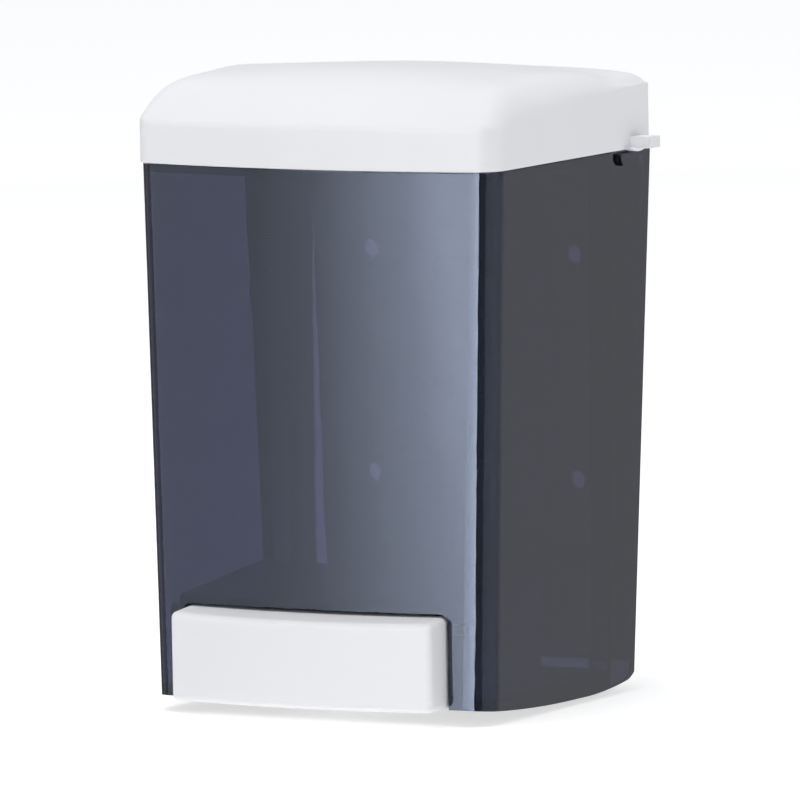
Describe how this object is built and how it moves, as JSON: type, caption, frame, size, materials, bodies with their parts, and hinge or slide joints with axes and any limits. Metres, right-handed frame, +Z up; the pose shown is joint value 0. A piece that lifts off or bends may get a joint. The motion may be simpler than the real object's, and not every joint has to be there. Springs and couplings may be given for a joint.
{
  "type": "wall mounted soap dispenser",
  "caption": "Box shaped wall soap dispenser with a see-through smoked tank, a domed white hinged lid and a sprung white push bar that works a small piston pump.",
  "frame": {"origin": "middle of the wall plate's back face, between its four screw holes, on the wall's surface", "axes": "+Z up, the front faces -Y, the wall is the plane y = 0"},
  "size_m": [0.12, 0.1038, 0.1681],
  "materials": {
    "smoked_plastic": "gloss",
    "white_plastic": "gloss",
    "grey_plastic": "satin",
    "pump_plastic": "satin",
    "steel": "satin",
    "ball_steel": "polished",
    "black_rubber": "matte",
    "clear_rubber": "satin"
  },
  "bodies": {
    "housing": {"tank": "smoked_plastic", "hinge_bracket": "white_plastic", "hinge_pins": "steel", "hinge_screws": "steel", "wall_plate": "grey_plastic", "plate_pads": "black_rubber", "bar_pins": "steel", "pump_body": "pump_plastic", "neck_gasket": "black_rubber", "pump_cap": "pump_plastic", "neck_nut": "pump_plastic", "ball_cage": "pump_plastic", "inlet_strainer": "pump_plastic", "outlet_duckbill": "clear_rubber", "outlet_collar": "pump_plastic", "bar_stops": "black_rubber", "return_spring": "steel"},
    "lid_body": {"lid": "white_plastic"},
    "bar_body": {"push_bar": "white_plastic"},
    "piston_body": {"piston": "pump_plastic", "piston_seal": "black_rubber"},
    "ball_body": {"inlet_ball": "ball_steel"}
  },
  "joints": [
    {"name": "lid_hinge", "type": "hinge", "parent": "housing", "child": "lid_body", "pos_m": [0, -0.0075, 0.0745], "axis": [-1, 0, 0], "range_deg": [0, 80]},
    {"name": "bar_hinge", "type": "hinge", "parent": "housing", "child": "bar_body", "pos_m": [0, -0.086, -0.0599], "axis": [1, 0, 0], "range_deg": [0, 30], "stiffness_Nm_per_rad": 0.06, "springref_deg": -20.05},
    {"name": "pump_stroke", "type": "slide", "parent": "housing", "child": "piston_body", "axis": [0, 1, 0], "range_m": [0, 0.0047], "deforming": ["return_spring"]},
    {"name": "inlet_valve", "type": "slide", "parent": "housing", "child": "ball_body", "axis": [0, -1, 0], "range_m": [0, 0.0024]}
  ],
  "couplings": [
    {"joint": "pump_stroke", "follows": "bar_hinge", "m_per_rad": 0.0087}
  ]
}
